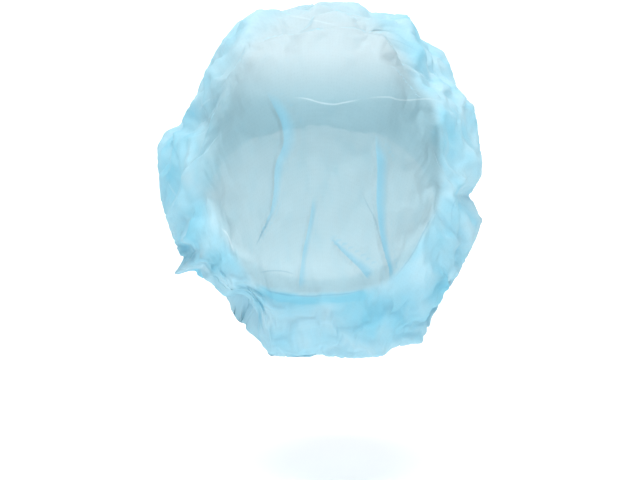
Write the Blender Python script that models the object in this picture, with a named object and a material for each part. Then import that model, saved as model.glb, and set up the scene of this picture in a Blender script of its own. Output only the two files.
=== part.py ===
# Disposable hairnet: a bouffant cap of thin nonwoven cloth, gathered on an elastic loop.
# Metres, +Z up. The cap's front is at -Y, and its full pouch hangs at the back, at +Y.
# The origin is the centre of the elastic loop.
import math

import bmesh
import bpy
import numpy as np

for old in list(bpy.data.objects):
    bpy.data.objects.remove(old, do_unlink=True)

MM = 0.001

# Loop: the oval line along which the hem is drawn in
LOOP_WIDTH = 154 * MM
LOOP_LENGTH = 208 * MM
LOOP_TILT = math.radians(30)

# Bag: how far it stands past the loop, and how high and low it reaches
SIDE_FULLNESS = 30 * MM
FRONT_FULLNESS = 17 * MM
BACK_FULLNESS = 41 * MM
CROWN_HEIGHT = 134 * MM
CROWN_BACKSET = 10 * MM
BACK_DROOP = 37 * MM
SIDE_DROOP = 16 * MM
POUCH_SQUARENESS = 0.4
FRONT_OVERLAP = 2 * MM

# Cloth, hem and elastic
CLOTH = 1.0 * MM
CLEARANCE = 0.3 * MM
HEM_HEIGHT = 14 * MM
HEM_RIPPLE = 1.2 * MM
TUCK = 5 * MM
ELASTIC_WIDTH = 6 * MM
ELASTIC_THICKNESS = 1.0 * MM

# Gathers, lobes and folds
GATHERS = 21
GATHER_DEPTH = 4.0 * MM
GATHERS_BEGIN = 0.45
GATHERS_FULL = 0.85
LOBE_HEIGHT = 10 * MM
FOLD_HEIGHT = 4.5 * MM
FOLD_WIDTH = 9 * MM

# Mesh
COLUMNS = 4 * GATHERS
BAG_ROWS = 19
TURN_STEPS = 3

BACK_REACH = LOOP_LENGTH / 2 * math.cos(LOOP_TILT) + BACK_FULLNESS
FRONT_REACH = LOOP_LENGTH / 2 * math.cos(LOOP_TILT) + FRONT_FULLNESS
SIDE_REACH = LOOP_WIDTH / 2 + SIDE_FULLNESS
LOOP_RISE = LOOP_LENGTH / 2 * math.sin(LOOP_TILT)

# Cross sections from the top of the crown to the hem.
# down: share of the way; the outs: shares of the side, front and back reach; up: share of the height
SECTIONS = np.array(
    [
        # down side_out front_out back_out up
        (0.00, 0.00, 0.00, 0.00, 1.000),
        (0.11, 0.34, 0.27, 0.40, 0.965),
        (0.23, 0.62, 0.59, 0.67, 0.875),
        (0.35, 0.81, 0.80, 0.86, 0.720),
        (0.48, 0.93, 0.93, 0.96, 0.530),
        (0.60, 0.99, 0.99, 1.00, 0.350),
        (0.71, 1.00, 1.00, 0.99, 0.185),
        (0.81, 0.95, 0.96, 0.93, 0.065),
        (0.89, 0.87, 0.92, 0.83, 0.000),
        (0.95, 0.79, 0.885, 0.75, 0.050),
    ]
)

# Rounded bulges and dents. turn is in degrees from the back towards +X.
LOBES = np.array(
    [
        # turn down reach_turn reach_down height
        (104, 0.42, 40, 0.16, -1.8),
        (94, 0.60, 12, 0.05, 0.8),
        (78, 0.78, 18, 0.07, -1.2),
        (66, 0.79, 5, 0.03, 1.3),
        (-100, 0.30, 40, 0.08, -0.4),
        (-86, 0.72, 10, 0.05, -0.8),
        (-66, 0.84, 12, 0.07, -1.0),
        (-38, 0.90, 14, 0.06, 0.6),
    ]
)

# Places where the lower edge of the bag is caught up or hangs lower, as shares of the droop at the back
EDGE_LIFTS = np.array(
    [
        # turn reach lift
        (52, 15, 0.60),
        (-62, 10, 0.15),
        (-40, 10, -0.08),
    ]
)

# Long soft folds over the back: three knots each, then height and width as shares of the fold sizes
FOLDS = np.array(
    [
        # turn1 down1 turn2 down2 turn3 down3 height width
        (24, 0.36, 14, 0.52, 22, 0.78, 1.0, 1.0),
        (-24, 0.42, -26, 0.60, -30, 0.80, 1.2, 1.0),
        (2, 0.60, 5, 0.70, 8, 0.84, 0.8, 0.7),
        (-6, 0.66, -14, 0.74, -24, 0.82, 0.9, 0.8),
    ]
)


def along(positions, table, column):
    """One column of a table of sections, as a smooth curve through its rows (Catmull-Rom)."""
    knots = table[:, 0]
    values = table[:, column]
    slopes = np.gradient(values, knots)
    row = np.clip(np.searchsorted(knots, positions, side="right") - 1, 0, len(knots) - 2)
    span = knots[row + 1] - knots[row]
    share = (positions - knots[row]) / span
    ahead = share - 1
    return (
        values[row] * (1 + 2 * share) * ahead**2
        + values[row + 1] * share**2 * (1 - 2 * ahead)
        + (slopes[row] * ahead + slopes[row + 1] * share) * span * share * ahead
    )


def loop_point(turn, out, up):
    """A point beside the loop: out from it in its tilted plane, and up square to that plane."""
    flat = np.stack([np.sin(turn) / LOOP_WIDTH, np.cos(turn) / LOOP_LENGTH])
    flat = flat / np.linalg.norm(flat, axis=0)
    across = LOOP_WIDTH / 2 * np.sin(turn) + out * flat[0]
    length = LOOP_LENGTH / 2 * np.cos(turn) + out * flat[1]
    y = length * math.cos(LOOP_TILT) + up * math.sin(LOOP_TILT)
    z = -length * math.sin(LOOP_TILT) + up * math.cos(LOOP_TILT)
    return np.stack([across, y, z], axis=-1)


def wrapped(angle):
    return (angle + math.pi) % (2 * math.pi) - math.pi


def edge_lift(turn):
    lift = np.zeros(np.shape(turn))
    for at_turn, reach, share in EDGE_LIFTS:
        around = wrapped(turn - math.radians(at_turn)) / math.radians(reach)
        lift = lift + share * BACK_DROOP * np.exp(-(around**2))
    return lift


def base_point(turn, down):
    """A point of the plain bag, before its lobes, folds and gathers."""
    side, front, back, up = (along(down, SECTIONS, column) for column in (1, 2, 3, 4))
    front_y = -front * FRONT_REACH
    back_y = back * BACK_REACH
    towards_back = np.cos(turn)
    backset = CROWN_BACKSET * np.clip(1 - side, 0, 1)
    y = (back_y + front_y) / 2 + (back_y - front_y) / 2 * towards_back + backset
    back_low = -LOOP_RISE - BACK_DROOP
    front_low = LOOP_RISE - FRONT_OVERLAP
    # The pouch stays low over most of its width before it climbs to the sides.
    level = towards_back * (1 + POUCH_SQUARENESS * (1 - towards_back**2) * (towards_back > 0))
    low = (
        -SIDE_DROOP
        + (back_low - front_low) / 2 * level
        + ((back_low + front_low) / 2 + SIDE_DROOP) * level**2
        + edge_lift(turn)
    )
    z = low + up * (CROWN_HEIGHT - low)
    return np.stack([side * SIDE_REACH * np.sin(turn), y, z], axis=-1)


def outward(turn, down):
    """The bag's unit normal, pointing out of the cloth."""
    step = 1e-3
    across = base_point(turn + step, down) - base_point(turn - step, down)
    along_it = base_point(turn, down + step) - base_point(turn, np.maximum(down - step, 0))
    normal = np.cross(across, along_it)
    length = np.linalg.norm(normal, axis=-1, keepdims=True)
    return normal / np.maximum(length, 1e-12)


def lobes(turn, down):
    height = np.zeros(np.shape(turn))
    for at_turn, at_down, reach_turn, reach_down, share in LOBES:
        around = wrapped(turn - math.radians(at_turn)) / math.radians(reach_turn)
        below = (down - at_down) / reach_down
        height = height + share * LOBE_HEIGHT * np.exp(-(around**2) - below**2)
    return height


def distance_to_line(points, start, end):
    line = end - start
    share = np.clip((points - start) @ line / (line @ line), 0, 1)
    return np.linalg.norm(points - start - share[..., None] * line, axis=-1)


def folds(turn, down):
    points = base_point(turn, down)
    height = np.zeros(np.shape(turn))
    for row in FOLDS:
        knots = base_point(np.radians(row[0:6:2]), row[1:6:2])
        near = np.minimum(
            distance_to_line(points, knots[0], knots[1]),
            distance_to_line(points, knots[1], knots[2]),
        )
        height = height + row[6] * FOLD_HEIGHT * np.exp(-((near / (row[7] * FOLD_WIDTH)) ** 2))
    return height


def gathers(turn, down):
    """Depth of the folds that the elastic draws in: full beside the hem, gone at the widest part of the bag."""
    share = np.clip((down - GATHERS_BEGIN) / (GATHERS_FULL - GATHERS_BEGIN), 0, 1)
    return GATHER_DEPTH * share**2 * (1 + np.cos(GATHERS * turn)) / 2


def bag_point(turn, down):
    height = lobes(turn, down) + folds(turn, down) - gathers(turn, down)
    return base_point(turn, down) + height[..., None] * outward(turn, down)


def build_mesh(name, points, faces, colour, roughness):
    """A smooth-shaded object from points and faces, with its own material."""
    mesh = bpy.data.meshes.new(name)
    mesh.from_pydata(points, [], faces)
    work = bmesh.new()
    work.from_mesh(mesh)
    bmesh.ops.recalc_face_normals(work, faces=work.faces)
    work.to_mesh(mesh)
    work.free()
    mesh.shade_smooth()
    material = bpy.data.materials.new(name)
    material.use_nodes = True
    shader = material.node_tree.nodes["Principled BSDF"]
    shader.inputs["Base Color"].default_value = (*colour, 1)
    shader.inputs["Roughness"].default_value = roughness
    shader.inputs["Metallic"].default_value = 0.0
    mesh.materials.append(material)
    piece = bpy.data.objects.new(name, mesh)
    bpy.context.scene.collection.objects.link(piece)
    return piece


def grid_faces(rows, columns):
    """Quads between neighbouring rings of a grid whose columns close round."""
    return [
        (
            row * columns + column,
            row * columns + (column + 1) % columns,
            (row + 1) * columns + (column + 1) % columns,
            (row + 1) * columns + column,
        )
        for row in range(rows - 1)
        for column in range(columns)
    ]


def turns():
    return np.linspace(0, 2 * math.pi, COLUMNS, endpoint=False)


def ripple(turn):
    """How far the hem's outer leg waves out, in step with the bag's gathers."""
    return HEM_RIPPLE * (1 + np.cos(GATHERS * turn)) / 2


LEG_IN = CLOTH / 2 + CLEARANCE
LEG_OUT = LEG_IN + CLOTH
BESIDE_HEM = LEG_OUT + HEM_RIPPLE + CLEARANCE


def build_crown():
    turn = turns()
    steps = np.linspace(0, SECTIONS[-1, 0], BAG_ROWS + 1)[1:]
    rings = [bag_point(turn, np.full(COLUMNS, down)) for down in steps]
    # The cloth then lies beside the hem, turns over its top edge and tucks into it.
    rings.append(loop_point(turn, BESIDE_HEM + gathers(turn, 1.0) / 2, HEM_HEIGHT / 4))
    radius = (BESIDE_HEM - CLOTH / 2) / 2
    for step in range(TURN_STEPS + 1):
        angle = math.pi * step / TURN_STEPS
        out = CLOTH / 2 + radius + radius * math.cos(angle)
        rings.append(loop_point(turn, out, HEM_HEIGHT + CLEARANCE + radius * math.sin(angle)))
    rings.append(loop_point(turn, CLOTH / 2, HEM_HEIGHT - TUCK))
    points = np.concatenate([base_point(np.zeros(1), np.zeros(1))] + rings)
    faces = [(0, 1 + column, 1 + (column + 1) % COLUMNS) for column in range(COLUMNS)]
    faces += [tuple(corner + 1 for corner in face) for face in grid_faces(len(rings), COLUMNS)]
    crown = build_mesh("crown", points, faces, (0.60, 0.84, 0.93), 0.75)
    wall = crown.modifiers.new("wall", "SOLIDIFY")
    wall.thickness = CLOTH
    wall.offset = -1
    wall.use_rim = True
    return crown


def swept(name, section, colour, roughness):
    """A closed loop with the given (out, up) section at each turn."""
    turn = turns()
    rings = np.stack([loop_point(turn, out, up) for out, up in section])
    count = len(section)
    points = rings.transpose(1, 0, 2).reshape(-1, 3)
    faces = []
    for column in range(COLUMNS):
        ahead = (column + 1) % COLUMNS
        for corner in range(count):
            beside = (corner + 1) % count
            faces.append(
                (
                    column * count + corner,
                    column * count + beside,
                    ahead * count + beside,
                    ahead * count + corner,
                )
            )
    return build_mesh(name, points, faces, colour, roughness)


def build_hem():
    """The casing: two legs joined by the fold at their lower edge, open at the top where the bag tucks in."""
    wave = ripple(turns())
    bevel = CLOTH * 0.6
    section = [
        (LEG_OUT + wave, HEM_HEIGHT),
        (LEG_OUT + wave, bevel),
        (LEG_OUT - bevel + wave, 0),
        (-LEG_OUT + bevel, 0),
        (-LEG_OUT, bevel),
        (-LEG_OUT, HEM_HEIGHT),
        (-LEG_IN, HEM_HEIGHT),
        (-LEG_IN, CLOTH),
        (LEG_IN + wave, CLOTH),
        (LEG_IN + wave, HEM_HEIGHT),
    ]
    return swept("hem", section, (0.55, 0.80, 0.90), 0.75)


def build_elastic():
    low = CLOTH + CLEARANCE
    high = low + ELASTIC_WIDTH
    half = ELASTIC_THICKNESS / 2
    section = [(half, high), (half, low), (-half, low), (-half, high)]
    return swept("elastic_band", section, (0.88, 0.90, 0.90), 0.6)


build_crown()
build_hem()
build_elastic()
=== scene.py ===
# %% [markdown]
# # A disposable bouffant hairnet in its worn form
#
# The real cap starts as a flat disc of thin spunbond nonwoven, about 53 cm across. Its edge is folded
# over a narrow elastic and stitched, and the elastic draws the edge in to a loop under 60 cm round.
# Everything else about the cap's look follows from that: too much cloth meets a short edge, so it puffs
# out, gathers and creases.
#
# The packed CAD model is the fixed frame. It holds the bag's main form, the hem and the elastic. This
# lesson dresses them: a fine crumpled sheet, a gathered casing, a ribbed elastic and the stitches.

# %% Load the frame
import math

import bpy
import numpy as np
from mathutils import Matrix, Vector, noise


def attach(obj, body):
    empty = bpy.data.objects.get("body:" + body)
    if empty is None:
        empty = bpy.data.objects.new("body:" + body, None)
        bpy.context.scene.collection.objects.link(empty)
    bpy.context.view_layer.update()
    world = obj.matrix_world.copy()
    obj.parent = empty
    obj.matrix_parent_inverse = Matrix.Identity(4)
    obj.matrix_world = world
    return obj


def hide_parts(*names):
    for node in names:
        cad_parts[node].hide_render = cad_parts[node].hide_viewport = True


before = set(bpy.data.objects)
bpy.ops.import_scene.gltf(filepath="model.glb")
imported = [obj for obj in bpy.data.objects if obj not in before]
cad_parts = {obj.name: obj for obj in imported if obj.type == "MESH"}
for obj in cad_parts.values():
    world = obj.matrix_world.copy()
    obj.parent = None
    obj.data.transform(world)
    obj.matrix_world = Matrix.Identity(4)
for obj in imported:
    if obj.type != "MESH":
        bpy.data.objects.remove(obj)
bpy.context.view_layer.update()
print("frame nodes:", sorted(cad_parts))

# %% [markdown]
# ## Sizes of the cap
#
# The cloth follows the same rule as the CAD bag, so the same named sizes come first, in metres. `turn`
# runs round the cap from the back towards +X, and `down` runs from the top of the crown, 0, to the hem.

# %% Sizes shared with the frame
MM = 0.001
LOOP_WIDTH = 154 * MM
LOOP_LENGTH = 208 * MM
LOOP_TILT = math.radians(30)
SIDE_FULLNESS = 30 * MM
FRONT_FULLNESS = 17 * MM
BACK_FULLNESS = 41 * MM
CROWN_HEIGHT = 134 * MM
CROWN_BACKSET = 10 * MM
BACK_DROOP = 37 * MM
SIDE_DROOP = 16 * MM
POUCH_SQUARENESS = 0.4
FRONT_OVERLAP = 2 * MM
HEM_HEIGHT = 14 * MM
LOBE_HEIGHT = 10 * MM
BACK_REACH = LOOP_LENGTH / 2 * math.cos(LOOP_TILT) + BACK_FULLNESS
FRONT_REACH = LOOP_LENGTH / 2 * math.cos(LOOP_TILT) + FRONT_FULLNESS
SIDE_REACH = LOOP_WIDTH / 2 + SIDE_FULLNESS
LOOP_RISE = LOOP_LENGTH / 2 * math.sin(LOOP_TILT)

# down, then side_out, front_out and back_out as shares of the reach each way, then up as a share of the
# height
SECTIONS = np.array([
    (0.00, 0.00, 0.00, 0.00, 1.000),
    (0.11, 0.34, 0.27, 0.40, 0.965),
    (0.23, 0.62, 0.59, 0.67, 0.875),
    (0.35, 0.81, 0.80, 0.86, 0.720),
    (0.48, 0.93, 0.93, 0.96, 0.530),
    (0.60, 0.99, 0.99, 1.00, 0.350),
    (0.71, 1.00, 1.00, 0.99, 0.185),
    (0.81, 0.95, 0.96, 0.93, 0.065),
    (0.89, 0.87, 0.92, 0.83, 0.000),
    (0.95, 0.79, 0.885, 0.75, 0.050),
])
# turn, down, reach_turn, reach_down, height as a share of the lobe height
LOBES = np.array([
    (104, 0.42, 40, 0.16, -1.8),
    (94, 0.60, 12, 0.05, 0.8),
    (78, 0.78, 18, 0.07, -1.2),
    (66, 0.79, 5, 0.03, 1.3),
    (-100, 0.30, 40, 0.08, -0.4),
    (-86, 0.72, 10, 0.05, -0.8),
    (-66, 0.84, 12, 0.07, -1.0),
    (-38, 0.90, 14, 0.06, 0.6),
])
# turn, reach, lift as a share of the droop at the back
EDGE_LIFTS = np.array([(52, 15, 0.60), (-62, 10, 0.15), (-40, 10, -0.08)])
BAG_END = SECTIONS[-1, 0]
print("reach: side %.0f, front %.0f, back %.0f mm" % (SIDE_REACH / MM, FRONT_REACH / MM, BACK_REACH / MM))

# %% [markdown]
# ## The bag's form
#
# Ten oval sections carry the form from the crown over the widest part, down into the pouch and back up
# beside the hem. A smooth curve runs through each column of the table, so any point can be asked for by
# its turn and its way down. Broad lobes and dents are added along the normal.

# %% The bag as a function of turn and down
def smooth(positions, knots, values):
    """A smooth curve through the values at the knots, read at any positions."""
    slopes = np.gradient(values, knots)
    row = np.clip(np.searchsorted(knots, positions, side="right") - 1, 0, len(knots) - 2)
    span = knots[row + 1] - knots[row]
    share = (positions - knots[row]) / span
    ahead = share - 1
    return (
        values[row] * (1 + 2 * share) * ahead**2
        + values[row + 1] * share**2 * (1 - 2 * ahead)
        + (slopes[row] * ahead + slopes[row + 1] * share) * span * share * ahead
    )


def along(positions, column):
    return smooth(positions, SECTIONS[:, 0], SECTIONS[:, column])


def wrapped(angle):
    return (angle + math.pi) % (2 * math.pi) - math.pi


def loop_point(turn, out, up):
    """A point beside the loop: out from it in its tilted plane, and up square to that plane."""
    flat = np.stack([np.sin(turn) / LOOP_WIDTH, np.cos(turn) / LOOP_LENGTH])
    flat = flat / np.linalg.norm(flat, axis=0)
    across = LOOP_WIDTH / 2 * np.sin(turn) + out * flat[0]
    length = LOOP_LENGTH / 2 * np.cos(turn) + out * flat[1]
    y = length * math.cos(LOOP_TILT) + up * math.sin(LOOP_TILT)
    z = -length * math.sin(LOOP_TILT) + up * math.cos(LOOP_TILT)
    return np.stack([across, y, z], axis=-1)


def base_point(turn, down):
    side, front, back, up = (along(down, column) for column in (1, 2, 3, 4))
    front_y = -front * FRONT_REACH
    back_y = back * BACK_REACH
    towards_back = np.cos(turn)
    backset = CROWN_BACKSET * np.clip(1 - side, 0, 1)
    y = (back_y + front_y) / 2 + (back_y - front_y) / 2 * towards_back + backset
    back_low = -LOOP_RISE - BACK_DROOP
    front_low = LOOP_RISE - FRONT_OVERLAP
    level = towards_back * (1 + POUCH_SQUARENESS * (1 - towards_back**2) * (towards_back > 0))
    low = -SIDE_DROOP + (back_low - front_low) / 2 * level
    low = low + ((back_low + front_low) / 2 + SIDE_DROOP) * level**2
    for at_turn, reach, share in EDGE_LIFTS:
        around = wrapped(turn - math.radians(at_turn)) / math.radians(reach)
        low = low + share * BACK_DROOP * np.exp(-(around**2))
    z = low + up * (CROWN_HEIGHT - low)
    return np.stack([side * SIDE_REACH * np.sin(turn), y, z], axis=-1)


def outward(turn, down):
    step = 1e-3
    across = base_point(turn + step, down) - base_point(turn - step, down)
    along_it = base_point(turn, down + step) - base_point(turn, np.maximum(down - step, 0))
    normal = np.cross(across, along_it)
    return normal / np.maximum(np.linalg.norm(normal, axis=-1, keepdims=True), 1e-12)


def lobes(turn, down):
    height = np.zeros(np.shape(turn))
    for at_turn, at_down, reach_turn, reach_down, share in LOBES:
        around = wrapped(turn - math.radians(at_turn)) / math.radians(reach_turn)
        below = (down - at_down) / reach_down
        height = height + share * LOBE_HEIGHT * np.exp(-(around**2) - below**2)
    return height


lowest = base_point(np.zeros(1), np.full(1, 0.89))[0]
print("foot of the pouch: %.0f mm back, %.0f mm up" % (lowest[1] / MM, lowest[2] / MM))

# %% [markdown]
# ## A grid with no pole
#
# A sheet cut as a disc could be modelled as rings round a centre, but the quads would pinch to slivers
# there and spread out at the edge, where the gathers need them most. A square grid pressed into a disc
# has neither fault: its cells stay about square, and the edge gets four times as many points as one side.

# %% The disc of cloth
CELLS = 140
SIDE = CELLS + 1
half = np.linspace(-1, 1, SIDE)
grid_b, grid_a = np.meshgrid(half, half)
wide = np.abs(grid_a) > np.abs(grid_b)
share = np.maximum(np.abs(grid_a), np.abs(grid_b))
safe_a = np.where(grid_a == 0, 1, grid_a)
safe_b = np.where(grid_b == 0, 1, grid_b)
angle = np.where(wide, math.pi / 4 * grid_b / safe_a, math.pi / 2 - math.pi / 4 * grid_a / safe_b)
angle = np.where(np.where(wide, grid_a, grid_b) < 0, angle + math.pi, angle)
angle[share == 0] = 0
TURN = angle.ravel()
SHARE = share.ravel()
RINGS = CELLS // 2
BAG_RINGS = RINGS - 5
RING = np.rint(SHARE * RINGS).astype(int)


def grid_quads(side):
    corners = np.arange(side * side).reshape(side, side)
    quads = [corners[:-1, :-1], corners[:-1, 1:], corners[1:, 1:], corners[1:, :-1]]
    return np.stack(quads, axis=-1).reshape(-1, 4).tolist()


print("cloth grid:", len(TURN), "points,", 4 * CELLS, "round the edge")

# %% [markdown]
# ## Gathers and crumple
#
# Gathers start at the hem, many and small, and merge upwards into fewer and broader folds, so their waves
# are stretched noise: fine round the cap, long down it. Thin nonwoven creases sharply, like paper, so the
# crumple is the difference of two folded noises, which gives straight ridges and valleys between flat
# facets.

# %% Gathers and crumple as heights
GATHER_DEPTH = 5.5 * MM
CRUMPLE = ((48 * MM, 5.4 * MM), (22 * MM, 2.2 * MM))
# waves round the cap and down it
BROAD_WAVES = (3.6, 1.4)
SMALL_WAVES = (11.0, 2.2)
DRAWN_WIDTH = 76 * MM
DRAWN_HEIGHT = 98 * MM
DRAWN_MIDDLE = 30 * MM
DRAWN_BEHIND = 50 * MM
SMOOTHED = 0.8


def eased(share):
    share = np.clip(share, 0, 1)
    return share * share * (3 - 2 * share)


def folded_noise(points, size, seed):
    """Sharp ridges and valleys between flat facets, from about -1 to 1."""
    shift = Vector((seed * 7.3, seed * 3.1, seed * 5.7))
    other = Vector((41.7, 13.9, 29.3))
    found = np.empty(len(points))
    for index, point in enumerate(points):
        place = Vector(point) / size + shift
        found[index] = abs(noise.noise(place)) - abs(noise.noise(place + other))
    return found * 2.2


def stretched_noise(turn, down, waves, seed):
    round_cap = np.stack([np.cos(turn) * waves[0], np.sin(turn) * waves[0], down * waves[1]], axis=-1)
    return folded_noise(round_cap, 1.0, seed)


def gathers(turn, down):
    """Depth of the folds that the elastic draws in."""
    rise = np.clip((down - 0.4) / 0.5, 0, 1) ** 2
    broad = stretched_noise(turn, down, BROAD_WAVES, 1)
    small = stretched_noise(turn, down, SMALL_WAVES, 2)
    pouch = np.clip(np.cos(turn), 0, 1)
    near = np.clip((down - 0.76 - 0.10 * pouch) / 0.12, 0, 1)
    room = 0.5 + 0.5 * np.clip(np.cos(turn) + 1, 0, 1)
    return GATHER_DEPTH * rise * room * (0.45 * (broad + 0.3) + 0.6 * near * small)


def crumple(points):
    return sum(height * folded_noise(points, size, 3 + size) for size, height in CRUMPLE)


# Out from the loop and up the hem, for the rings that lie beside the hem, turn over its top and tuck into
# it
TUCK = np.array([(3.6, 4.0), (3.4, 12.5), (1.6, 15.2), (0.1, 13.0), (0.0, 9.0)]) * MM


def looseness(places):
    """1 where the cloth hangs free, and less over the middle of the back, where it is drawn smooth."""
    off = np.hypot(places[..., 0] / DRAWN_WIDTH, (places[..., 2] - DRAWN_MIDDLE) / DRAWN_HEIGHT)
    behind = eased(places[..., 1] / DRAWN_BEHIND)
    return 1 - SMOOTHED * behind * eased((1.15 - off) / 0.5)


def cloth_start():
    """Points of the sheet before it is simulated, with its edge tucked into the hem."""
    down = np.minimum(RING / BAG_RINGS, 1) * BAG_END
    places = base_point(TURN, down)
    height = lobes(TURN, down) - gathers(TURN, down)
    fade = np.clip((BAG_RINGS - RING) / 6, 0, 1)
    height = height + crumple(places) * fade * looseness(places)
    places = places + height[:, None] * outward(TURN, down)
    for step, (out, up) in enumerate(TUCK):
        ring = RING == BAG_RINGS + 1 + step
        places[ring] = loop_point(TURN[ring], out, up)
    return places


points = cloth_start()
print("cloth before the solver:", np.round(points.min(0) / MM), np.round(points.max(0) / MM))

# %% [markdown]
# ## Letting the cloth buckle
#
# A drawn crumple repeats itself. Real creases come from cloth that has more area than room, so the sheet
# is given to Blender's cloth solver with its edge pinned in the hem and told to grow by a few hundredths.
# It can only buckle. No point may end more than 7 mm from its start, and less where the cloth is drawn
# smooth, so the form stays the cap's own.

# %% Simulate the sheet
GROWTH = -0.06
SOLVER_FRAMES = 14
MOST_MOVE = 7 * MM
SOLVER = {
    "quality": 4,
    "mass": 0.02,
    "tension_stiffness": 12,
    "compression_stiffness": 12,
    "shear_stiffness": 6,
    "bending_stiffness": 0.03,
    "air_damping": 2.0,
    "shrink_min": GROWTH,
    "vertex_group_mass": "held",
}


def placed(name, data):
    piece = bpy.data.objects.new(name, data)
    bpy.context.scene.collection.objects.link(piece)
    return piece


def mesh_piece(name, places, faces):
    mesh = bpy.data.meshes.new(name)
    mesh.from_pydata([tuple(place) for place in places], [], faces)
    mesh.update()
    mesh.shade_smooth()
    return placed(name, mesh)


def buckled(places):
    """The sheet after the solver, with every point held near its start."""
    sheet = mesh_piece("solver_sheet", places, grid_quads(SIDE))
    held = sheet.vertex_groups.new(name="held")
    held.add([int(i) for i in np.nonzero(RING > BAG_RINGS)[0]], 1.0, "REPLACE")
    cloth = sheet.modifiers.new("solver", "CLOTH")
    for name, value in SOLVER.items():
        setattr(cloth.settings, name, value)
    cloth.settings.effector_weights.gravity = 0.0
    cloth.collision_settings.use_collision = False
    cloth.point_cache.frame_start = 1
    cloth.point_cache.frame_end = SOLVER_FRAMES
    scene = bpy.context.scene
    for step in range(1, SOLVER_FRAMES + 1):
        scene.frame_set(step)
    solved = sheet.evaluated_get(bpy.context.evaluated_depsgraph_get()).to_mesh()
    found = np.empty(len(places) * 3, np.float32)
    solved.vertices.foreach_get("co", found)
    scene.frame_set(1)
    bpy.data.objects.remove(sheet, do_unlink=True)
    move = found.reshape(-1, 3).astype(float) - places
    length = np.linalg.norm(move, axis=1, keepdims=True)
    print("solver moved points by up to %.1f mm" % (length.max() / MM))
    return places + move * np.minimum(1, MOST_MOVE / np.maximum(length, 1e-9)) * looseness(places)[:, None]


points = buckled(points)

# %% [markdown]
# ## A finer grid
#
# The solver works on cells of about 3 mm. Halving them along smooth curves keeps its creases and makes
# room for the pleats, which are only a few millimetres wide.

# %% Refine the sheet
def halved(values):
    """A grid of points with a new point on a smooth curve between each two, along its first axis."""
    before = np.concatenate([2 * values[:1] - values[1:2], values[:-2]])
    after = np.concatenate([values[2:], 2 * values[-1:] - values[-2:-1]])
    between = (9 * (values[:-1] + values[1:]) - before - after) / 16
    finer = np.empty((2 * len(values) - 1,) + values.shape[1:])
    finer[0::2] = values
    finer[1::2] = between
    return finer


fine = halved(halved(points.reshape(SIDE, SIDE, 3)).transpose(1, 0, 2)).transpose(1, 0, 2)
FINE_SIDE = fine.shape[0]
print("refined to", FINE_SIDE * FINE_SIDE, "points")


def surface_normals(grid):
    normal = np.cross(np.gradient(grid, axis=1), np.gradient(grid, axis=0))
    return normal / np.maximum(np.linalg.norm(normal, axis=-1, keepdims=True), 1e-12)


# %% [markdown]
# ## The outline seen from behind
#
# A crumpled bag has a silhouette of its own: corners where a fold stands out, straight runs between them
# and a few notches. The table lists them by the clock, from the top and clockwise as seen from behind,
# with the reach from the middle of the cap. Only cloth near the silhouette is moved, so the form inside
# it stays.

# %% Fit the silhouette
VIEW_RISE = math.radians(5)
CAMERA_AWAY = 1.5
AIM_UP = -23 * MM
MIDDLE_UP = 16.5 * MM
EDGE_WIDTH = 0.30
# degrees round the clock, reach in millimetres
CORNERS = np.array([
    (0, 116.8), (12, 119.5), (17, 115.5), (28, 122.8), (36, 114.5), (44, 117.8), (56, 109.2),
    (64, 112.5), (76, 108.2), (88, 107.2), (96, 99.0), (104, 110.2), (116, 109.6), (132, 111.0),
    (140, 116.5), (148, 126.4), (156, 120.8), (160, 123.1), (180, 115.5), (196, 120.4),
    (201, 113.2), (207.5, 104.2), (212, 101.4), (217, 99.4), (226, 99.0), (234, 102.6),
    (237, 114.5), (240.5, 104.5), (252, 104.3), (264, 105.6), (272, 106.6), (282, 109.6),
    (288, 106.9), (292, 99.0), (304, 99.0), (312, 103.3), (324, 111.2), (332, 117.2), (340, 119.5),
    (348, 114.2), (356, 115.8),
])
CLOCK_STEPS = 360
FIT_ROUNDS = 4


def seen_from_behind(grid):
    """Right and up from the middle of the cap as the camera sees them, and how much it enlarges there."""
    nearer = grid[..., 1] * math.cos(VIEW_RISE) + (grid[..., 2] - AIM_UP) * math.sin(VIEW_RISE)
    enlarged = CAMERA_AWAY / (CAMERA_AWAY - nearer)
    up = (grid[..., 2] - AIM_UP) * math.cos(VIEW_RISE) - grid[..., 1] * math.sin(VIEW_RISE)
    return -grid[..., 0] * enlarged, up * enlarged + AIM_UP * math.cos(VIEW_RISE) - MIDDLE_UP, enlarged


def fit_silhouette(grid, movable):
    right, up, enlarged = seen_from_behind(grid)
    clock = np.degrees(np.arctan2(right, up)) % 360
    reach = np.hypot(right, up)
    bins = (clock / 360 * CLOCK_STEPS).astype(int) % CLOCK_STEPS
    now = np.zeros(CLOCK_STEPS)
    np.maximum.at(now, bins.ravel(), reach.ravel())
    now = (np.roll(now, 1) + 2 * now + np.roll(now, -1)) / 4
    centres = (np.arange(CLOCK_STEPS) + 0.5) * 360 / CLOCK_STEPS
    wanted = np.interp(centres, CORNERS[:, 0], CORNERS[:, 1] * MM, period=360)
    here = np.interp(clock, centres, now, period=360)
    change = np.interp(clock, centres, wanted / now - 1, period=360)
    change = change * eased((reach / here - 1 + EDGE_WIDTH) / EDGE_WIDTH) * movable
    moved = grid.copy()
    moved[..., 0] *= 1 + change
    moved[..., 2] += up * change / (enlarged * math.cos(VIEW_RISE))
    print("silhouette moved by %.1f to %.1f mm" % ((wanted - now).min() / MM, (wanted - now).max() / MM))
    return moved


fine_share = halved(halved(SHARE.reshape(SIDE, SIDE)).T).T
movable = eased((BAG_RINGS - fine_share * RINGS) / 2)
for _ in range(FIT_ROUNDS):
    fine = fit_silhouette(fine, movable)

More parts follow.
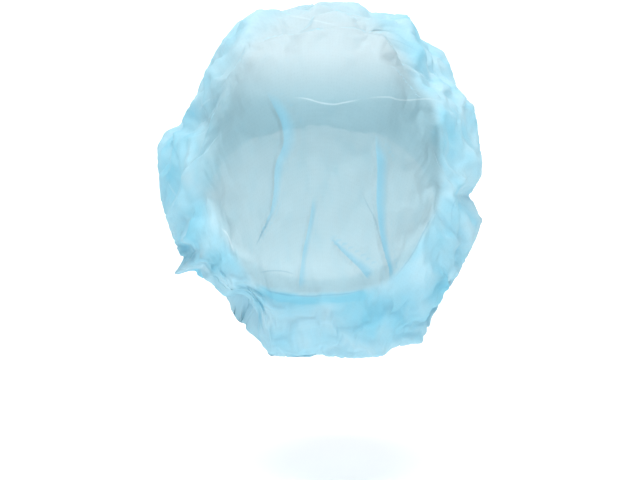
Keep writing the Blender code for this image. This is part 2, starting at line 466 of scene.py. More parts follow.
# %% [markdown]
# ## Pleats and creases over the back
#
# Some gathers are pressed flat and lie over as narrow pleats, three layers thick, so they show as bluer
# strips with one sharp edge. Others are only creases, finer than a cell of the sheet. Each is a short
# path seen from behind. Ledges and bunches are softer: they raise the cloth a little or lay it double.
# One band at the foot is a painted shadow of the elastic, a deeper blue. A pleat raises the cloth. What
# its edge and a crease need besides is a line much finer than the grid, so the sheet keeps the signed
# distance from the path as an attribute. A distance is linear across its line, so it survives between
# two points of the grid, and the material can draw a crisp line from it: a painted highlight along light
# creases and a painted shade along dark ones.

# %% Add the pleats and creases
# name, height mm, doubled share, then the path as right, up and width, in millimetres from the top of the
# crown
PLEATS = (
    ("left", 1.7, 0.50, (
        (-35, -57, 2), (-28, -67, 6), (-21, -79, 8), (-20, -94, 7.5), (-26, -107, 5.5), (-28, -125, 4),
        (-31, -138, 2.6), (-37, -151, 1.8), (-43, -162, 0.8),
    )),
    ("right", 2.1, 0.75, (
        (37, -85, 2.5), (38, -96, 5), (40, -105, 8.5), (40, -116, 8), (40, -134, 7.3), (41, -150, 6),
        (43, -162, 5), (46, -174, 4), (48, -186, 5),
    )),
    ("middle", 1.3, 0.50, (
        (-3, -127, 4.5), (-5, -141, 3.3), (-7, -153, 3.6), (-10, -167, 3.4), (-12, -190, 4.4),
    )),
    ("slanting", 1.4, 0.62, (
        (6, -154, 1.3), (14, -162, 3.3), (21, -168, 4.6), (28, -174, 6), (35, -181, 8),
    )),
)
# name, strength (a painted highlight line over 0, a painted shade line under it), then the path as right
# and up in millimetres
CREASES = (
    ("across left", 0.6, ((-18, -65), (-9, -66), (0, -68.5), (10, -69), (18, -67.5), (27, -65.7))),
    ("across", 0.5, ((27, -65.7), (40, -64.4), (55, -65), (70, -64), (77, -64.6), (82, -67.3), (86, -71))),
    ("across top", -0.45, ((24, -20), (42, -23.8), (56, -28.4), (68, -34))),
    ("left bright", 0.8, ((-66, -147.8), (-60.5, -154), (-58.2, -160), (-55.8, -167.3))),
    ("left pleat edge", -0.8, ((-30, -138), (-36.5, -150), (-43, -162))),
    ("right inner", -0.7, ((27, -124), (31, -133.5), (35.5, -142), (38, -152), (43, -167))),
    ("far right", -0.8, ((77, -136), (70, -148.5), (61, -166), (53, -177), (47, -184))),
    ("right rim", -0.6, ((91, -127), (87, -137), (87, -147))),
    ("left rim", 0.5, ((-101, -118), (-97, -124), (-93, -131))),
    ("left rim dark", -0.5, ((-98.5, -93), (-95, -99), (-92, -106))),
    ("foot short", -0.7, ((-41, -178.6), (-33, -177.2), (-24, -177.4), (-15, -180))),
    ("foot", -1.0, (
        (-44, -185), (-38, -188), (-30, -190.7), (-15, -192.8), (3, -192.8), (18, -192), (31, -189.4),
    )),
    ("left top", 0.5, ((-80, -72), (-76, -66.5), (-70, -63))),
    ("top left", 0.4, ((-22, -9), (-3, -13), (11, -16))),
)
# Soft steps in the cloth's fall: height mm, then how far it fades above and below, in millimetres, and
# the path
LEDGES = (
    (4.2, 30, 24, ((-62, -60), (-32, -64), (0, -68), (26, -66), (46, -64), (60, -66))),
    (1.5, 9, 3.0, ((-46, -186), (-30, -191), (-12, -193.5), (6, -193.5), (20, -192), (34, -188))),
)
# The painted shadow of the elastic, a deeper and denser band along the pouch's foot: half width mm, extra
# depth, path
ELASTIC_PAINTED_SHADOW = (
    2.8, 0.60, ((-44, -187.5), (-30, -193.2), (-12, -195.6), (6, -195.6), (20, -194.4), (33, -191)),
)
# Loose cloth that lies in more than one layer: right, up, then half width, half height and doubled share
BUNCHES = (
    (84, -86, 8, 22, 0.40), (88, -132, 8, 16, 0.30), (40, -208, 26, 16, 0.42), (60, -188, 12, 12, 0.22),
    (-69, -172, 16, 9, 0.28), (-72, -116, 6, 10, 0.22), (-98, -112, 7, 26, 0.18),
    (16, -200, 10, 6, 0.18), (-36, -196, 12, 8, 0.14), (96, -96, 6, 14, 0.20),
    (-94, -100, 16, 34, 0.30), (-78, -60, 12, 16, 0.22), (-86, -150, 10, 18, 0.34),
    (-60, -196, 16, 12, 0.10), (82, -160, 14, 12, 0.22), (58, -24, 12, 8, 0.20),
)
# Where the cloth drawn smooth over the back takes a grey painted shade, as of a head behind it, by the
# clock round its middle: degrees, reach mm and how soft its edge is
DRAWN_UP = -104.3
PAINTED_SHADE_EDGE = np.array([
    (0, 106, 24), (24, 100, 24), (36, 92, 24), (49, 83, 14), (64, 83.5, 7), (90, 80, 7), (104, 82, 6),
    (122, 83, 5), (144, 90, 4), (152, 91, 5), (180, 87, 3), (208, 92, 6), (222, 84, 9), (237, 79.6, 14),
    (253, 79, 18), (262, 77, 22), (285, 78, 30), (315, 88, 36), (341, 102, 30),
])
LOOSE_LAYERS = 0.28
# How pale the drawn cloth is painted by height in mm from the crown's top: painted light at the dome,
# painted shade halfway down
PAINTED_LIGHT_BY_HEIGHT = np.array([
    (-190, 0.50), (-174, 0.75), (-164, 0.60), (-154, 0.45), (-124, 0.32), (-104, 0.16), (-84, 0.0),
    (-68, 0.10), (-55, 0.38), (-45, 0.66), (-35, 1.0),
])
FACET_SIZE = 26 * MM
CREASE_HEIGHT = 0.35 * MM
# how far from a crease, in millimetres, its ridge fades and its line ends
CREASE_FADE = 1.6
NEAR_A_LINE = 5.0
PATH_STEPS = 28


def path_distance(right, up, path):
    """Signed distance in millimetres from a smooth path, the share of the way along it, and its width."""
    knots = np.array(path, float)
    spans = np.linalg.norm(np.diff(knots[:, :2], axis=0), axis=1)
    reached = np.concatenate([[0], np.cumsum(spans)])
    steps = np.linspace(0, reached[-1], PATH_STEPS)
    places = np.stack([smooth(steps, reached, knots[:, axis]) for axis in (0, 1)], axis=-1)
    nearest = np.full(right.shape, 1e9)
    side = np.zeros(right.shape)
    way = np.zeros(right.shape)
    for step, (start, end) in enumerate(zip(places[:-1], places[1:])):
        length = np.linalg.norm(end - start)
        line = (end - start) / length
        along_it = np.clip((right - start[0]) * line[0] + (up - start[1]) * line[1], 0, length)
        off_right = right - start[0] - along_it * line[0]
        off_up = up - start[1] - along_it * line[1]
        off = np.hypot(off_right, off_up)
        closer = off < nearest
        nearest = np.where(closer, off, nearest)
        side = np.where(closer, np.sign(line[0] * off_up - line[1] * off_right), side)
        way = np.where(closer, (step + along_it / length) / (PATH_STEPS - 1), way)
    width = np.interp(way * reached[-1], reached, knots[:, 2]) if knots.shape[1] > 2 else 1.0
    return nearest * side, way, width


def painted_shade_share(right, up):
    """1 where the drawn cloth takes its grey painted shade, and 0 where it hangs loose."""
    clock = np.degrees(np.arctan2(right, up - DRAWN_UP)) % 360
    reach = np.interp(clock, PAINTED_SHADE_EDGE[:, 0], PAINTED_SHADE_EDGE[:, 1], period=360)
    softness = np.interp(clock, PAINTED_SHADE_EDGE[:, 0], PAINTED_SHADE_EDGE[:, 2], period=360)
    return eased((reach - np.hypot(right, up - DRAWN_UP)) / softness + 0.5)


def add_pleats(grid):
    """The grid with its pleats raised, and what the material needs to know at each point."""
    right, up, _ = seen_from_behind(grid)
    right = right / MM
    up = (up + MIDDLE_UP - CROWN_HEIGHT) / MM
    normal = surface_normals(grid)
    facing = eased((normal[..., 1] + 0.1) / 0.4) * (fine_share < 0.9)
    facets = folded_noise(grid.reshape(-1, 3), FACET_SIZE, 5).reshape(right.shape)
    height = np.zeros(right.shape)
    marks = {name: np.zeros(right.shape) for name in ("pleat", "pleat_across", "crease", "crease_off")}
    # loose is 0 where the drawn cloth takes its grey painted shade, as of a head behind it
    marks["loose"] = 1 - painted_shade_share(right, up) * facing
    marks["layers"] = LOOSE_LAYERS * marks["loose"] * (1 + 1.7 * facets)
    # painted light and shade by height on the drawn cloth: paler at the dome, darkest halfway down
    marks["pale"] = np.interp(up, PAINTED_LIGHT_BY_HEIGHT[:, 0], PAINTED_LIGHT_BY_HEIGHT[:, 1])
    for _, rise, doubled, path in PLEATS:
        off, way, width = path_distance(right, up, path)
        ends = eased(way / 0.2) * eased((1 - way) / 0.12)
        across = off / width + 0.5
        height += rise * MM * np.clip(1 - across, 0, 1) * eased((across + 0.2) / 0.2) * ends * facing
        near = eased((1.1 - np.abs(across - 0.5)) / 0.3) * ends * facing * doubled
        chosen = near > marks["pleat"]
        marks["pleat"] = np.where(chosen, near, marks["pleat"])
        marks["pleat_across"] = np.where(chosen, across, marks["pleat_across"])
    # each crease raises a small ridge and keeps marks for a thin painted line: a highlight for a strength
    # over 0, a shade under it
    for _, strength, path in CREASES:
        off, way, _ = path_distance(right, up, path)
        near = eased((NEAR_A_LINE - np.abs(off)) / 2) * eased(way / 0.25) * eased((1 - way) / 0.25) * facing
        chosen = near > np.abs(marks["crease"])
        marks["crease"] = np.where(chosen, near * strength, marks["crease"])
        marks["crease_off"] = np.where(chosen, off, marks["crease_off"])
        height += CREASE_HEIGHT * np.exp(-np.abs(off) / CREASE_FADE) * near * abs(strength)
    for rise, above, below, path in LEDGES:
        off, way, _ = path_distance(right, up, path)
        fade = np.where(off > 0, off / above, -off / below)
        height += rise * MM * np.exp(-fade) * eased(way / 0.15) * eased((1 - way) / 0.15) * facing
    # a painted shadow of the elastic: a band along the pouch's foot is made a deeper blue and denser
    half_width, doubled, path = ELASTIC_PAINTED_SHADOW
    off, way, _ = path_distance(right, up, path)
    band = eased((1.3 - np.abs(off) / half_width) / 0.5) * eased(way / 0.1) * eased((1 - way) / 0.1)
    marks["layers"] += doubled * band * facing
    for at_right, at_up, half_width, half_height, doubled in BUNCHES:
        off = ((right - at_right) / half_width) ** 2 + ((up - at_up) / half_height) ** 2
        marks["layers"] += doubled * eased((1.5 - off - 0.9 * facets) / 1.1) * facing
    return grid + height[..., None] * normal, marks


fine, marks = add_pleats(fine)
FINE_CRUMPLE = ((10 * MM, 0.42 * MM), (5 * MM, 0.12 * MM))
ripple = sum(height * folded_noise(fine.reshape(-1, 3), size, 9) for size, height in FINE_CRUMPLE)
ripple = ripple.reshape(FINE_SIDE, FINE_SIDE) * movable * looseness(fine)
fine = fine + ripple[..., None] * surface_normals(fine)
print("pleats:", [row[0] for row in PLEATS], "creases:", len(CREASES))

# %% [markdown]
# ## Making the sheet
#
# The grid becomes one mesh of quads. Its UV map is the flat disc as it was cut, in shares of the disc, so
# the bonding dots and fibres of the material keep their true size however the cloth folds. The casing is
# folded double all round, so it takes a border of twice its height, and the crown's own cut is that much
# smaller.

# %% The crown's cloth
FLAT_SIZE = 0.53
CROWN_CUT = FLAT_SIZE - 4 * HEM_HEIGHT


def corner_points(piece):
    """The number of the point at each corner of the piece's faces."""
    found = np.empty(len(piece.data.loops), np.int32)
    piece.data.loops.foreach_get("vertex_index", found)
    return found


def set_flat_cut(piece, places):
    """Gives each corner its place on the flat cut, which the cloth's finish reads."""
    layer = piece.data.uv_layers.new(name="flat_cut")
    layer.data.foreach_set("uv", places.ravel().astype(np.float32))


def set_mark(piece, name, values):
    """Keeps a number at each point of the piece."""
    mark = piece.data.attributes.new(name, "FLOAT", "POINT")
    mark.data.foreach_set("value", values.ravel().astype(np.float32))


crown_cloth = mesh_piece("crown_cloth", fine.reshape(-1, 3), grid_quads(FINE_SIDE))
axis = np.linspace(-1, 1, FINE_SIDE)
flat_b, flat_a = np.meshgrid(axis, axis)
stretch = fine_share / np.maximum(np.hypot(flat_a, flat_b), 1e-9)
flat_radius = CROWN_CUT / FLAT_SIZE / 2
flat_uv = 0.5 + flat_radius * np.stack([flat_b * stretch, flat_a * stretch], axis=-1).reshape(-1, 2)
set_flat_cut(crown_cloth, flat_uv[corner_points(crown_cloth)])
for name, values in marks.items():
    set_mark(crown_cloth, name, values)
print("crown cloth:", len(crown_cloth.data.polygons), "quads")

# %% [markdown]
# ## The casing
#
# The edge of the disc is folded inwards over the elastic and stitched, which makes a narrow double
# tunnel. The elastic shortens it to less than half its cut length, so it stands in about ninety small
# tucks. It could be a cloth simulation, but a tunnel is a plain rule: one U-shaped section swept round
# the loop, whose two legs wave out and in. The outer leg waves more, and neighbouring tucks differ in
# depth.

# %% The gathered casing
CLOTH = 0.6 * MM
LEG_OUT = 1.8 * MM
HEM_COLUMNS = 900
TUCKS = 88
TUCK_DEPTH = 1.3 * MM
TUCK_DRIFT = 5.5
LEAN = 0.5 * MM
# the inner leg waves less than the outer one, and towards it
INNER_WAVE = -0.45
# how doubled the casing looks, and how loose it is
HEM_MARKS = (("layers", 0.35), ("loose", 1.0))
# side (1 outer leg, -1 inner leg), height as a share of the hem, share of the wave
HEM_SECTION = (
    (1, 1.00, 1.0), (1, 0.86, 0.8), (1, 0.70, 1.0), (1, 0.50, 0.9), (1, 0.28, 0.8), (1, 0.10, 0.7),
    (0.6, 0.0, 0.5), (-0.6, 0.0, 0.2),
    (-1, 0.10, 0.3), (-1, 0.30, 0.5), (-1, 0.52, 0.6), (-1, 0.74, 0.6), (-1, 0.88, 0.4), (-1, 1.00, 0.6),
)


def tucks(turn, height):
    """How far the casing's cloth waves out, from 0 to about its tuck depth."""
    circle = np.stack([np.cos(turn) * 14, np.sin(turn) * 14, np.full(turn.shape, height * 1.2)], axis=-1)
    drift = np.array([noise.noise(Vector(place)) for place in circle])
    coarse = np.array([noise.noise(Vector(place) * 0.35 + Vector((9, 4, 2))) for place in circle])
    wave = 0.5 + 0.5 * np.cos(TUCKS * turn + TUCK_DRIFT * drift)
    return TUCK_DEPTH * (wave ** 1.4 * (0.75 + 0.9 * coarse) + 0.25 * (1 + coarse))


def casing_point(turn, side, height, wave_share):
    wave = tucks(turn, height) * wave_share
    lean = LEAN * np.sin(TUCKS * turn / 2 + 2 * side)
    out = side * (LEG_OUT - CLOTH / 2) + wave * (1 if side > 0 else INNER_WAVE)
    return loop_point(turn, out, height * HEM_HEIGHT + lean * height)


def swept_shell(name, section, columns):
    """An open strip with the given section at each turn of the loop, closed round the loop."""
    turn = np.linspace(0, 2 * math.pi, columns, endpoint=False)
    rings = [casing_point(turn, side, height, share) for side, height, share in section]
    faces = [
        (row * columns + column, row * columns + (column + 1) % columns,
         (row + 1) * columns + (column + 1) % columns, (row + 1) * columns + column)
        for row in range(len(section) - 1)
        for column in range(columns)
    ]
    return mesh_piece(name, np.concatenate(rings), faces), np.stack(rings)


hem_casing, casing_rings = swept_shell("hem_casing", HEM_SECTION, HEM_COLUMNS)
FLAT_EDGE = math.pi * FLAT_SIZE
hem_corners = corner_points(hem_casing)
hem_along = (hem_corners % HEM_COLUMNS) / HEM_COLUMNS * FLAT_EDGE / FLAT_SIZE
hem_down = (hem_corners // HEM_COLUMNS) / len(HEM_SECTION) * 2 * HEM_HEIGHT / FLAT_SIZE
set_flat_cut(hem_casing, np.stack([hem_along, hem_down], axis=-1))
for name, value in HEM_MARKS:
    set_mark(hem_casing, name, np.full(len(hem_casing.data.vertices), value))
print("casing:", len(hem_casing.data.polygons), "quads,", TUCKS, "tucks")

# %% [markdown]
# ## A small kit for finishes
#
# Shader maths reads best as plain expressions. `Value` wraps a socket, so `0.3 + 0.5 * mask` adds its
# Math nodes, and `Finish` holds one material and makes any other node from its type, its settings and its
# sockets.

# %% Finishes written as expressions
class Value:
    """A socket of a material that can stand in an expression."""

    def __init__(self, finish, socket):
        self.finish = finish
        self.socket = socket

    def __add__(self, other):
        return self.finish.maths("ADD", self, other)

    def __sub__(self, other):
        return self.finish.maths("SUBTRACT", self, other)

    def __rsub__(self, other):
        return self.finish.maths("SUBTRACT", other, self)

    def __mul__(self, other):
        return self.finish.maths("MULTIPLY", self, other)

    __radd__ = __add__
    __rmul__ = __mul__


class Finish:
    """A material and the nodes in it."""

    def __init__(self, name):
        self.material = bpy.data.materials.new(name)
        self.material.use_nodes = True
        self.tree = self.material.node_tree
        self.tree.nodes.clear()

    def node(self, kind, settings=None, sockets=None, output=0):
        made = self.tree.nodes.new("ShaderNode" + kind)
        for name, value in (settings or {}).items():
            setattr(made, name, value)
        for key, value in (sockets or {}).items():
            if isinstance(value, Value):
                self.tree.links.new(value.socket, made.inputs[key])
            else:
                made.inputs[key].default_value = value
        return Value(self, made.outputs[output]) if made.outputs else made

    def maths(self, operation, first, second=0.0, limited=False):
        settings = {"operation": operation, "use_clamp": limited}
        return self.node("Math", settings, {0: first, 1: second})

    def vectors(self, operation, first, second, output=0):
        return self.node("VectorMath", {"operation": operation}, {0: first, 1: second}, output)

    def ramp(self, value, low, high):
        """0 below low, 1 above high, and smooth between them."""
        settings = {"interpolation_type": "SMOOTHSTEP"}
        sockets = {"Value": value, "From Min": low, "From Max": high}
        return self.node("MapRange", settings, sockets)

    def colour_mix(self, share, first, second, blend="MIX"):
        sockets = {0: share, 6: first, 7: second}
        return self.node("Mix", {"data_type": "RGBA", "blend_type": blend}, sockets, 2)

    def mark(self, name):
        """A number that the mesh keeps at each of its points."""
        return self.node("Attribute", {"attribute_name": name}, None, 2)

    def noise(self, place, scale, detail=2.0, roughness=0.5):
        sockets = {"Vector": place, "Scale": scale, "Detail": detail, "Roughness": roughness}
        return self.node("TexNoise", None, sockets)

    def wear(self, shader):
        self.node("OutputMaterial", None, {"Surface": shader})
        return self.material


print("finish kit:", [name for name in vars(Finish) if not name.startswith("_")])

# %% [markdown]
# ## Spunbond nonwoven
#
# The cloth is a mat of fibres finer than a hair, pressed together at small bonding dots. Three things
# show: it is cloudy, because the fibres lie in drifts; light passes between the fibres and through them;
# and where it lies double the blue deepens. So the shader mixes three parts: clear gaps, a matt surface
# that reflects, and a translucent one that glows when light falls on its far side. The clouds, the fibres
# and the dots are laid out on the flat cut, in metres, and so they keep their size along every fold.
#
# The colour is mixed in steps from the marks on the sheet. Cloth drawn smooth over the back is given a grey
# painted shade, as of a head behind it, darkest halfway down, and painted light makes it paler towards the
# dome, as if lit from above. Loose cloth is a lighter blue and a pleat a stronger one, and a blue
# multiplies it where layers lie together and along a painted shadow of the elastic at the foot. The creases
# come last, as thin lines of painted shade and painted highlight.

# %% The cloth's finish
# a grey painted shade for the drawn cloth, as of a head lying behind it
PAINTED_SHADE_DRAWN = (0.208, 0.350, 0.400, 1)
# painted light: paler tones for the drawn cloth towards the dome, as if lit from above
PAINTED_LIGHT_DRAWN = (0.43, 0.61, 0.67, 1)
PAINTED_LIGHT_DOME = (0.45, 0.545, 0.575, 1)
PAINTED_LIGHT_HEIGHTS = (60 * MM, 85 * MM)
LOOSE = (0.53, 0.755, 0.83, 1)
PLEATED = (0.13, 0.43, 0.59, 1)
# a blue that deepens the colour where layers lie together, and along the painted shadow of the elastic
DEEPER_FOR_LAYERS_AND_SHADOW = (0.46, 0.83, 0.94, 1)
# painted shade and painted highlight for the lines along the creases
SHADE = (0.50, 0.64, 0.72, 1)
PAINTED_HIGHLIGHT = (0.78, 0.92, 0.95, 1)
GLOW = (0.43, 0.68, 0.78, 1)
CLOUD_SCALE = 95.0
FIBRE_SCALE = (1900.0, 260.0, 1.0)
DOT_PITCH = 1.9 * MM
# radius of a bonding dot as a share of its pitch, from its middle to where it ends
DOT_EDGE = (0.16, 0.30)
# across a pleat from its sharp edge, 0, to its soft one, 1
STRIP_STARTS = (0.0, 0.12)
STRIP_FADES = (0.30, 1.25)
# millimetres from a crease
LINE_EDGE = (0.1, 0.8)
# strength of the painted highlight and painted shade lines on the creases
PAINTED_HIGHLIGHT_LINES = 0.45
PAINTED_SHADE_LINES = 0.6
# translucent share; the drawn cloth gets less, a painted shade as of a head blocking the light behind it
GLOW_SHARE = 0.15
LOOSE_GLOW = 0.28
BUMP = 0.3 * MM


def nonwoven(name, thin, thick):
    """Cloth whose opacity runs from thin, in one layer, to thick, where it lies double and along the
    painted shadow at the foot.
    """
    finish = Finish(name)
    flat = finish.node("UVMap", {"uv_map": "flat_cut"})
    place = finish.vectors("MULTIPLY", flat, (FLAT_SIZE, FLAT_SIZE, 1))
    layers = finish.mark("layers")
    loose = finish.mark("loose")
    clouds = finish.noise(place, CLOUD_SCALE, 4.0, 0.6)
    fibres_a = finish.noise(finish.vectors("MULTIPLY", place, FIBRE_SCALE), 1.0, 2.0)
    turned = finish.node("Mapping", None, {"Vector": place, "Rotation": (0, 0, 1.1)})
    fibres_b = finish.noise(finish.vectors("MULTIPLY", turned, FIBRE_SCALE), 1.0, 2.0)
    fibres = 0.5 * (fibres_a + fibres_b)
    cell = finish.vectors("FRACTION", finish.vectors("DIVIDE", place, (DOT_PITCH, DOT_PITCH, 1)), (0, 0, 0))
    from_middle = finish.vectors("DISTANCE", cell, (0.5, 0.5, 0), 1)
    dots = 1 - finish.ramp(from_middle, *DOT_EDGE)
    mottle = 0.12 * (clouds - 0.5) + 0.10 * (fibres - 0.5) - 0.02 * dots
    cover = finish.maths("ADD", thin + mottle + (thick - thin) * layers, 0.0, True)
    across = finish.mark("pleat_across")
    fading = 1 - finish.ramp(across, *STRIP_FADES)
    strip = finish.ramp(across, *STRIP_STARTS) * fading * finish.mark("pleat")
    crease = finish.mark("crease")
    # thin lines along the creases: painted highlight on light creases, painted shade on dark ones
    line = 1 - finish.ramp(finish.maths("ABSOLUTE", finish.mark("crease_off")), *LINE_EDGE)
    painted_highlight_line = PAINTED_HIGHLIGHT_LINES * line * finish.maths("MAXIMUM", crease, 0.0)
    painted_shade_line = PAINTED_SHADE_LINES * line * finish.maths("MAXIMUM", 0 - crease, 0.0)
    depth = finish.maths("ADD", layers, 0.5 * (clouds - 0.5), True)
    # painted light: the drawn cloth turns a paler grey near the top of the dome, by its height
    on_object = finish.node("TexCoord", None, None, 3)
    height = finish.node("SeparateXYZ", None, {0: on_object}, 2)
    pale = finish.colour_mix(finish.ramp(height, *PAINTED_LIGHT_HEIGHTS), PAINTED_LIGHT_DRAWN, PAINTED_LIGHT_DOME)
    # the drawn cloth's grey painted shade, lightened by the painted light mark towards the dome
    drawn = finish.colour_mix(finish.mark("pale"), PAINTED_SHADE_DRAWN, pale)
    single = finish.colour_mix(loose, drawn, LOOSE)
    pleated = finish.colour_mix(strip, single, PLEATED)
    # deeper blue where layers lie together, and along the painted shadow of the elastic at the foot
    folded = finish.colour_mix(depth, pleated, DEEPER_FOR_LAYERS_AND_SHADOW, "MULTIPLY")
    shaded = finish.colour_mix(painted_shade_line, folded, SHADE, "MULTIPLY")
    colour = finish.colour_mix(painted_highlight_line, shaded, PAINTED_HIGHLIGHT)
    relief = 0.7 * fibres + 0.5 * clouds - 0.4 * dots
    bump = finish.node("Bump", None, {"Strength": 0.25, "Distance": BUMP, "Height": relief})
    sockets = {"Base Color": colour, "Roughness": 0.72 + 0.2 * (fibres - 0.5), "Normal": bump}
    matt = finish.node("BsdfPrincipled", None, sockets)
    glow = finish.node("BsdfTranslucent", None, {"Color": GLOW})
    body = finish.node("MixShader", None, {0: GLOW_SHARE + LOOSE_GLOW * loose, 1: matt, 2: glow})
    gaps = finish.node("BsdfTransparent", None, {"Color": (1, 1, 1, 1)})
    return finish.wear(finish.node("MixShader", None, {0: cover, 1: gaps, 2: body}))


crown_cloth.data.materials.append(nonwoven("nonwoven_single", 0.955, 0.99))
hem_casing.data.materials.append(nonwoven("nonwoven_double", 0.62, 0.80))
print("cloth finishes:", [material.name for material in bpy.data.materials if "nonwoven" in material.name])

# %% [markdown]
# ## Elastic and thread
#
# The elastic is a flat white braid with fine ribs across it, and the casing is closed by a chain stitch.
# Both are the same small shape repeated along a line, which is what Geometry Nodes do best: a line
# becomes a curve, the curve is resampled at the pitch, and one rib or stitch is set on each of its
# points, turned to run with it.

# %% A tree that repeats a small bar along a line
def bars_along_a_line(name):
    tree = bpy.data.node_groups.new(name, "GeometryNodeTree")
    entries = {"Line": "Geometry", "Pitch": "Float", "Length": "Float", "Width": "Float",
               "Height": "Float", "Upright": "Vector", "Finish": "Material"}
    for label, kind in entries.items():
        tree.interface.new_socket(label, in_out="INPUT", socket_type="NodeSocket" + kind)
    tree.interface.new_socket("Bars", in_out="OUTPUT", socket_type="NodeSocketGeometry")
    new = tree.nodes.new
    given = new("NodeGroupInput")
    curve = new("GeometryNodeMeshToCurve")
    spaced = new("GeometryNodeResampleCurve")
    spaced.mode = "LENGTH"
    tangent = new("GeometryNodeInputTangent")
    turn = new("FunctionNodeAxesToRotation")
    turn.primary_axis = "X"
    turn.secondary_axis = "Z"
    size = new("ShaderNodeCombineXYZ")
    bar = new("GeometryNodeMeshCylinder")
    for name, value in (("Vertices", 8), ("Radius", 0.5), ("Depth", 1.0)):
        bar.inputs[name].default_value = value
    lie = new("GeometryNodeTransform")
    lie.inputs["Rotation"].default_value = (0, math.radians(90), 0)
    set_bars = new("GeometryNodeInstanceOnPoints")
    real = new("GeometryNodeRealizeInstances")
    smoothed = new("GeometryNodeSetShadeSmooth")
    painted = new("GeometryNodeSetMaterial")
    result = new("NodeGroupOutput")
    links = (
        (given, "Line", curve, "Mesh"),
        (curve, "Curve", spaced, "Curve"),
        (given, "Pitch", spaced, "Length"),
        (spaced, "Curve", set_bars, "Points"),
        (tangent, 0, turn, "Primary Axis"),
        (given, "Upright", turn, "Secondary Axis"),
        (turn, 0, set_bars, "Rotation"),
        (given, "Length", size, "X"),
        (given, "Width", size, "Y"),
        (given, "Height", size, "Z"),
        (size, 0, set_bars, "Scale"),
        (bar, "Mesh", lie, "Geometry"),
        (lie, 0, set_bars, "Instance"),
        (set_bars, 0, real, 0),
        (real, 0, smoothed, "Geometry"),
        (smoothed, 0, painted, "Geometry"),
        (given, "Finish", painted, "Material"),
        (painted, 0, result, "Bars"),
    )
    for source, output, target, entry in links:
        tree.links.new(source.outputs[output], target.inputs[entry])
    return tree


BARS = bars_along_a_line("bars_along_a_line")
UPRIGHT = (0.0, math.sin(LOOP_TILT), math.cos(LOOP_TILT))
print("bars tree:", len(BARS.nodes), "nodes,", len(BARS.links), "links")


def repeated(name, line, pitch, length, width, height, material):
    """A plain mesh piece of bars set along a closed line of points."""
    count = len(line)
    mesh = bpy.data.meshes.new(name + "_line")
    mesh.from_pydata([tuple(point) for point in line], [(i, (i + 1) % count) for i in range(count)], [])
    holder = placed(name + "_line", mesh)
    maker = holder.modifiers.new("bars", "NODES")
    maker.node_group = BARS
    given = {"Pitch": pitch, "Length": length, "Width": width, "Height": height,
             "Upright": UPRIGHT, "Finish": material}
    for socket in BARS.interface.items_tree:
        if socket.in_out == "INPUT" and socket.name in given:
            maker[socket.identifier] = given[socket.name]
    graph = bpy.context.evaluated_depsgraph_get()
    made = bpy.data.meshes.new_from_object(holder.evaluated_get(graph))
    made.name = name
    bpy.data.objects.remove(holder, do_unlink=True)
    print(name + ":", len(made.polygons), "faces")
    return placed(name, made)


# %% [markdown]
# ## The elastic
#
# The braid stands on edge in the casing's tunnel, just above the fold at its foot, and runs once round
# the loop.

# %% The braid in the casing
ELASTIC_LOW = 1.5 * MM
ELASTIC_WIDTH = 6 * MM
RIB_PITCH = 1.25 * MM
RIB_LENGTH = RIB_PITCH * 1.15
RIB_THICKNESS = 0.9 * MM
LOOP_POINTS = 240


def grained(name, scale, detail, colours, roughness, bump=None):
    """A plain finish whose colour varies with a grain, which may also stand out by the bump."""
    finish = Finish(name)
    grain = finish.noise(finish.node("TexCoord", None, None, 3), scale, detail)
    sockets = {"Base Color": finish.colour_mix(grain, *colours), "Roughness": roughness + 0.2 * grain}
    if bump:
        relief = {"Strength": 0.4, "Distance": bump, "Height": grain}
        sockets["Normal"] = finish.node("Bump", None, relief)
    return finish.wear(finish.node("BsdfPrincipled", None, sockets))


loop_turns = np.linspace(0, 2 * math.pi, LOOP_POINTS, endpoint=False)
middle_line = loop_point(loop_turns, 0.0, ELASTIC_LOW + ELASTIC_WIDTH / 2)
BRAID_COLOURS = ((0.80, 0.82, 0.82, 1), (0.93, 0.94, 0.93, 1))
BRAID = grained("white_braid", 2600.0, 2.0, BRAID_COLOURS, 0.5, 0.1 * MM)
elastic_braid = repeated(
    "elastic_braid", middle_line, RIB_PITCH, RIB_LENGTH, RIB_THICKNESS, ELASTIC_WIDTH, BRAID
)

# %% [markdown]
# ## Stitches
#
# The seam runs about two millimetres below the casing's upper edge, through both legs, and follows their
# tucks. Its line is read from the casing itself, and each stitch is a short thread lying on the cloth.

# %% The seam
# the row of the casing's section that the stitches lie on
SEAM_ROW = 1
STITCH_PITCH = 3.2 * MM
STITCH_LENGTH = STITCH_PITCH * 0.72
THREAD = 0.45 * MM
# how far out of the cloth a stitch lies, as a share of its thread
PROUD = 0.3
THREAD_COLOURS = ((0.62, 0.80, 0.88, 1), (0.80, 0.90, 0.94, 1))

outer_line = casing_rings[SEAM_ROW]
inner_line = casing_rings[len(HEM_SECTION) - 1 - SEAM_ROW]
out_of_loop = outer_line - inner_line
out_of_loop = out_of_loop / np.linalg.norm(out_of_loop, axis=1, keepdims=True)
THREAD_FINISH = grained("pale_thread", 3200.0, 1.0, THREAD_COLOURS, 0.45)
STITCH = (STITCH_PITCH, STITCH_LENGTH, THREAD, THREAD, THREAD_FINISH)
seam_outer = repeated("seam_outer", outer_line + out_of_loop * THREAD * PROUD, *STITCH)
seam_inner = repeated("seam_inner", inner_line - out_of_loop * THREAD * PROUD, *STITCH)

# %% [markdown]
# ## Which piece stands for what
#
# The dressed pieces hide the plain solids and ride on the one body.

# %% Hide the solids and attach the dressed pieces
DRESSED = {
    "crown_cloth": ("crown", "cloth"),
    "hem_casing": ("hem", "hem_cloth"),
    "elastic_braid": ("elastic_band", "elastic"),
}
for name, (node, slot) in DRESSED.items():
    piece = bpy.data.objects[name]
    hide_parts(node)
    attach(piece, "root")
for piece in (seam_outer, seam_inner):
    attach(piece, "root")

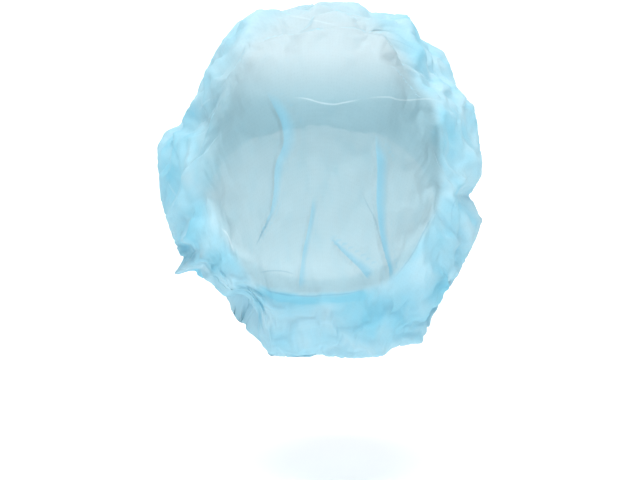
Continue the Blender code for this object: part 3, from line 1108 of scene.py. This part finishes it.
# %% [markdown]
# ## The studio
#
# A white sweep of paper that glows a little, white air, one broad soft light high over the back of the
# cap and two weak fills on the camera's side give the bright, nearly shadowless look of a product
# photograph. The camera stands behind the cap, a little above its middle and 1.5 m away, with a long
# lens.

# %% Floor, lights and camera
FLOOR = -0.176
SWEEP_START = -0.55
SWEEP_RADIUS = 0.5
SWEEP_STEPS = 24
SWEEP_NEAR = 2.2
WALL_HEIGHT = 2.4
HALF_WIDTH = 2.5
PAPER_GLOW = 0.25
AIR = 0.36
AIM = (0.0, 0.0, AIM_UP)
# name, place in metres, size in metres and power in watts
LIGHTS = (
    ("key", (0.1, 0.7, 1.65), 1.6, 39),
    ("fill", (-1.3, 0.9, 0.5), 1.2, 2.8),
    ("low_fill", (0.2, 1.9, 0.0), 1.2, 6.5),
)


def white_sweep():
    """A floor that bends up into a wall on the far side of the cap."""
    profile = [(SWEEP_NEAR, FLOOR), (SWEEP_START, FLOOR)]
    for step in range(1, SWEEP_STEPS + 1):
        bend = math.pi / 2 * step / SWEEP_STEPS
        y = SWEEP_START - SWEEP_RADIUS * math.sin(bend)
        profile.append((y, FLOOR + SWEEP_RADIUS * (1 - math.cos(bend))))
    profile.append((SWEEP_START - SWEEP_RADIUS, FLOOR + WALL_HEIGHT))
    places = [(x, y, z) for y, z in profile for x in (-HALF_WIDTH, HALF_WIDTH)]
    faces = [(2 * i, 2 * i + 1, 2 * i + 3, 2 * i + 2) for i in range(len(profile) - 1)]
    return mesh_piece("white_sweep", places, faces)


sweep = white_sweep()
paper = Finish("white_paper")
paper_sockets = {
    "Base Color": (0.93, 0.93, 0.93, 1),
    "Roughness": 0.9,
    "Emission Color": (1, 1, 1, 1),
    "Emission Strength": PAPER_GLOW,
}
sweep.data.materials.append(paper.wear(paper.node("BsdfPrincipled", None, paper_sockets)))


def aimed(name, data, place):
    """An object that looks at the middle of the cap from its place."""
    holder = placed(name, data)
    holder.location = place
    holder.rotation_euler = (Vector(AIM) - Vector(place)).to_track_quat("-Z", "Y").to_euler()
    return holder


def soft_light(name, place, size, power):
    light = bpy.data.lights.new(name, "AREA")
    light.shape = "DISK"
    light.size = size
    light.energy = power
    aimed(name, light, place).visible_camera = False


for row in LIGHTS:
    soft_light(*row)

world = bpy.data.worlds.new("white_air")
world.use_nodes = True
background = world.node_tree.nodes["Background"].inputs
background["Color"].default_value = (1, 1, 1, 1)
background["Strength"].default_value = AIR
bpy.context.scene.world = world
bpy.context.scene.view_settings.view_transform = "Standard"

CAMERA_LENS = 128
camera = bpy.data.cameras.new("camera")
camera.lens = CAMERA_LENS
camera_place = (0.0, CAMERA_AWAY * math.cos(VIEW_RISE), AIM[2] + CAMERA_AWAY * math.sin(VIEW_RISE))
bpy.context.scene.camera = aimed("camera", camera, camera_place)
print("studio: lights", [row[0] for row in LIGHTS], "and a lens of", CAMERA_LENS, "mm")

# %% [markdown]
# ## Size
#
# The dressed cap stays in the box of the solids, but for the little that cloth may stand proud.
